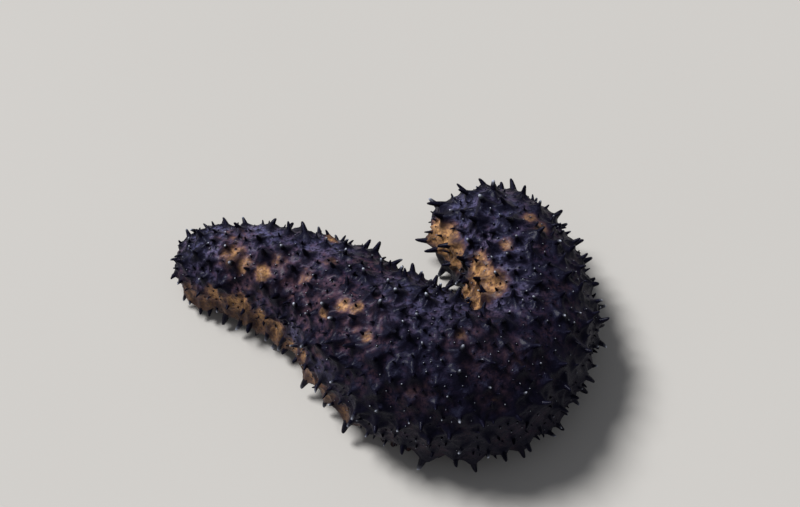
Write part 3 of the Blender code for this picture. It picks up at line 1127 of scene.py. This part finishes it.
def add_math(tree, operation, first, second):
    """One sum, difference or product of two values."""
    made = add_node(tree, "ShaderNodeMath", {0: first, 1: second}, operation=operation)
    return made.outputs[0]


def add_mix(tree, share, first, second):
    """A mix of two colours."""
    made = add_node(tree, "ShaderNodeMix", {0: share, 6: first, 7: second}, data_type="RGBA")
    return made.outputs[2]


print("colours ready: black, plum, brown, rose, lilac, ochres, sole and speck")

# %% [markdown]
# ## Mixing the markings
# Skin, papillae and feet wear the same markings, so those are one node group that each
# material places.  It reads Object coordinates, which run on from piece to piece, because
# every piece stands at the origin.  The layers lie over one another as on a painted model:
# black mottled with plum, brown clouds, a painted lilac sheen, the paler sole, ochre with a
# rosy rim and last painted shade, black over the right side that lies away from the light.
# Noise masks each, so that no edge is clean.

# %% The markings group
# the second socket carries painted sheen and the third painted shade
MARKS = ("Ochre", "Painted_sheen", "Painted_shade", "Under")
# noise of each kind: size of its features, detail, roughness
CLOUD_NOISE = (9 * MM, 3, 0.5)
MOTTLE_NOISE = (2.4 * MM, 4, 0.6)
FLECK_NOISE = (0.8 * MM, 4, 0.6)
GRAIN_NOISE = (0.35 * MM, 2, 0.5)
# the values between which each mask rises from nothing to full
CLOUD_RISE = (0.42, 0.62)
SPOT_RISE = (0.44, 0.62)
BROWN_RISE = (0.40, 0.62)
SHEEN_RISE = (0.32, 0.64)
UNDER_RISE = (0.3, 0.6)
ROSE_RISE = (0.0, 0.4)
OCHRE_RISE = (0.2, 0.95)
GOLD_RISE = (0.34, 0.58)
NOISE_MIDDLE = 0.5
# share of black in the painted shade
SHADE_SHARE = 0.9
ROUGH_LEAST = 0.36
ROUGH_FLECK = 0.3
GRAIN_SHARE = 0.4


def make_markings():
    """The node group of the animal's colours, painted sheen and painted shade, gloss and fine
    relief.
    """
    tree = bpy.data.node_groups.new("skin_markings", "ShaderNodeTree")
    face = tree.interface
    for name in MARKS:
        face.new_socket(name, in_out="INPUT", socket_type="NodeSocketFloat")
    face.new_socket("Colour", in_out="OUTPUT", socket_type="NodeSocketColor")
    for name in ("Roughness", "Height"):
        face.new_socket(name, in_out="OUTPUT", socket_type="NodeSocketFloat")
    given = add_node(tree, "NodeGroupInput").outputs
    where = add_node(tree, "ShaderNodeTexCoord").outputs["Object"]
    cloud = add_range(tree, add_noise(tree, where, *CLOUD_NOISE), *CLOUD_RISE)
    mottle = add_noise(tree, where, *MOTTLE_NOISE)
    fleck = add_noise(tree, where, *FLECK_NOISE)
    grain = add_noise(tree, where, *GRAIN_NOISE)
    spots = add_range(tree, mottle, *SPOT_RISE)
    colour = add_mix(tree, spots, BLACK, PLUM)
    brown = add_math(tree, "MULTIPLY", cloud, add_range(tree, fleck, *BROWN_RISE))
    colour = add_mix(tree, brown, colour, BROWN)
    # painted sheen: lilac laid over the skin where it is lit
    sheen_mask = add_math(tree, "MULTIPLY", given["Painted_sheen"], add_range(tree, fleck, *SHEEN_RISE))
    colour = add_mix(tree, sheen_mask, colour, SHEEN_LILAC)
    pale = add_math(tree, "MULTIPLY", given["Under"], add_range(tree, mottle, *UNDER_RISE))
    colour = add_mix(tree, pale, colour, UNDER)
    ragged = add_math(tree, "SUBTRACT", mottle, NOISE_MIDDLE)
    patch = add_math(tree, "ADD", given["Ochre"], ragged)
    colour = add_mix(tree, add_range(tree, patch, *ROSE_RISE), colour, ROSE)
    patch = add_range(tree, patch, *OCHRE_RISE)
    ochre = add_mix(tree, add_range(tree, fleck, *GOLD_RISE), OCHRE_DEEP, OCHRE)
    colour = add_mix(tree, patch, colour, ochre)
    # painted shade: black laid over the right side, away from the light
    painted_shade = add_math(tree, "MULTIPLY", given["Painted_shade"], SHADE_SHARE)
    colour = add_mix(tree, painted_shade, colour, BLACK)
    rough = add_math(tree, "ADD", ROUGH_LEAST, add_math(tree, "MULTIPLY", fleck, ROUGH_FLECK))
    height = add_math(tree, "ADD", fleck, add_math(tree, "MULTIPLY", grain, GRAIN_SHARE))
    results = {"Colour": colour, "Roughness": rough, "Height": height}
    add_node(tree, "NodeGroupOutput", results)
    return tree


markings_group = make_markings()
print("group nodes:", len(markings_group.nodes))

# %% [markdown]
# ## Three materials
# The skin is dark, wet and leathery: a fairly rough base that scatters with a bluish gloss, a
# thin clear coat for the wetness, and a faint lilac sheen where light grazes it.  Papillae
# run from the skin's own colour to black, and to the pale speck at the tip.

# %% Materials
BUMP_DEPTH = 0.25 * MM
# socket of the shader: value, the same in all three
GLOSS = {
    "Specular IOR Level": 0.15,
    "Specular Tint": (0.45, 0.50, 1.0, 1),
    "Coat Roughness": 0.22,
    "Sheen Roughness": 0.45,
    "Sheen Tint": (0.55, 0.5, 0.8, 1),
}
# material: weight of its clear coat and of its sheen
FINISHES = {
    "wet_skin": (0.05, 0.03),
    "papilla_skin": (0.06, 0.0),
    "foot_skin": (0.05, 0.0),
}


def new_material(name):
    """A material, its node tree and its shader."""
    material = bpy.data.materials.new(name)
    material.use_nodes = True
    tree = material.node_tree
    return material, tree, tree.nodes["Principled BSDF"]


def skin_material(name):
    """A material that wears the markings, with black papillae and pale tips."""
    coat, sheen = FINISHES[name]
    material, tree, shader = new_material(name)
    read = {
        key: add_node(tree, "ShaderNodeAttribute", attribute_name=key).outputs["Fac"]
        for key in ATTRIBUTES
    }
    marked = add_node(tree, "ShaderNodeGroup", node_tree=markings_group)
    for key in MARKS:
        tree.links.new(read[key.lower()], marked.inputs[key])
    colour = add_mix(tree, read["dark"], marked.outputs["Colour"], BLACK)
    colour = add_mix(tree, read["pale"], colour, SPECK)
    bump = add_node(tree, "ShaderNodeBump", {"Height": marked.outputs["Height"]})
    bump.inputs["Distance"].default_value = BUMP_DEPTH
    tree.links.new(colour, shader.inputs["Base Color"])
    tree.links.new(marked.outputs["Roughness"], shader.inputs["Roughness"])
    tree.links.new(bump.outputs["Normal"], shader.inputs["Normal"])
    for key, value in GLOSS.items():
        shader.inputs[key].default_value = value
    shader.inputs["Coat Weight"].default_value = coat
    shader.inputs["Sheen Weight"].default_value = sheen
    return material


skin.data.materials.append(skin_material("wet_skin"))
finger_material = skin_material("papilla_skin")
large_fingers.data.materials.append(finger_material)
small_fingers.data.materials.append(finger_material)
feet.data.materials.append(skin_material("foot_skin"))
print("materials:", [material.name for material in bpy.data.materials])

# %% [markdown]
# ## Each piece rides on the frame
# The model is still, so there is one body.  The skin stands for all six lengths, and the
# papillae and feet stand for what those lengths carry.

# %% Ride and replace
PIECES = (skin, large_fingers, small_fingers, feet)
for piece in PIECES:
    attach(piece, "root")
    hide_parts(*NODES)
print("riding:", [piece.name for piece in PIECES])

# %% [markdown]
# ## Floor and light
# A pale floor takes the soft shadow and sets the dark animal off.  One broad light shines
# from high on the left behind the animal, as in the picture.  It is a sun with a wide disc: a
# lamp nearby would leave the far floor dark in low views.  The world fills the shadows a bit.

# %% Studio
FLOOR_SIZE = 8.0
FLOOR_COLOUR = (0.55, 0.53, 0.50, 1)
FLOOR_COLOUR_PALE = (0.59, 0.57, 0.54, 1)
FLOOR_NOISE = (0.3, 3, 0.5)
FLOOR_ROUGHNESS = 0.8
KEY_PLACE = Vector((-0.84, 0.60, 1.24))
KEY_SPREAD = math.radians(20)
KEY_STRENGTH = 3.8
FILL_COLOUR = (0.9, 0.93, 1.0, 1)
FILL_STRENGTH = 0.19


def lay_floor():
    """A wide flat floor at height 0."""
    shape = bmesh.new()
    bmesh.ops.create_grid(shape, x_segments=1, y_segments=1, size=FLOOR_SIZE / 2)
    floor = piece_from(shape, "studio_floor")
    material, tree, shader = new_material("studio_floor")
    where = add_node(tree, "ShaderNodeTexCoord").outputs["Object"]
    shade = add_noise(tree, where, *FLOOR_NOISE)
    colour = add_mix(tree, shade, FLOOR_COLOUR, FLOOR_COLOUR_PALE)
    tree.links.new(colour, shader.inputs["Base Color"])
    shader.inputs["Roughness"].default_value = FLOOR_ROUGHNESS
    floor.data.materials.append(material)


def hang_light():
    """A broad soft light from the upper left, even over the whole floor."""
    data = bpy.data.lights.new("key_light", "SUN")
    data.angle = KEY_SPREAD
    data.energy = KEY_STRENGTH
    light = add_object("key_light", data)
    light.location = KEY_PLACE
    light.rotation_euler = (-KEY_PLACE).to_track_quat("-Z", "Y").to_euler()


def fill_world():
    """Even pale light from all round."""
    world = bpy.data.worlds.new("studio_world")
    world.use_nodes = True
    background = world.node_tree.nodes["Background"]
    background.inputs["Color"].default_value = FILL_COLOUR
    background.inputs["Strength"].default_value = FILL_STRENGTH
    bpy.context.scene.world = world


lay_floor()
hang_light()
fill_world()
bpy.context.scene.view_settings.view_transform = "Standard"
print("key light strength", KEY_STRENGTH, "from", [round(value, 2) for value in KEY_PLACE])
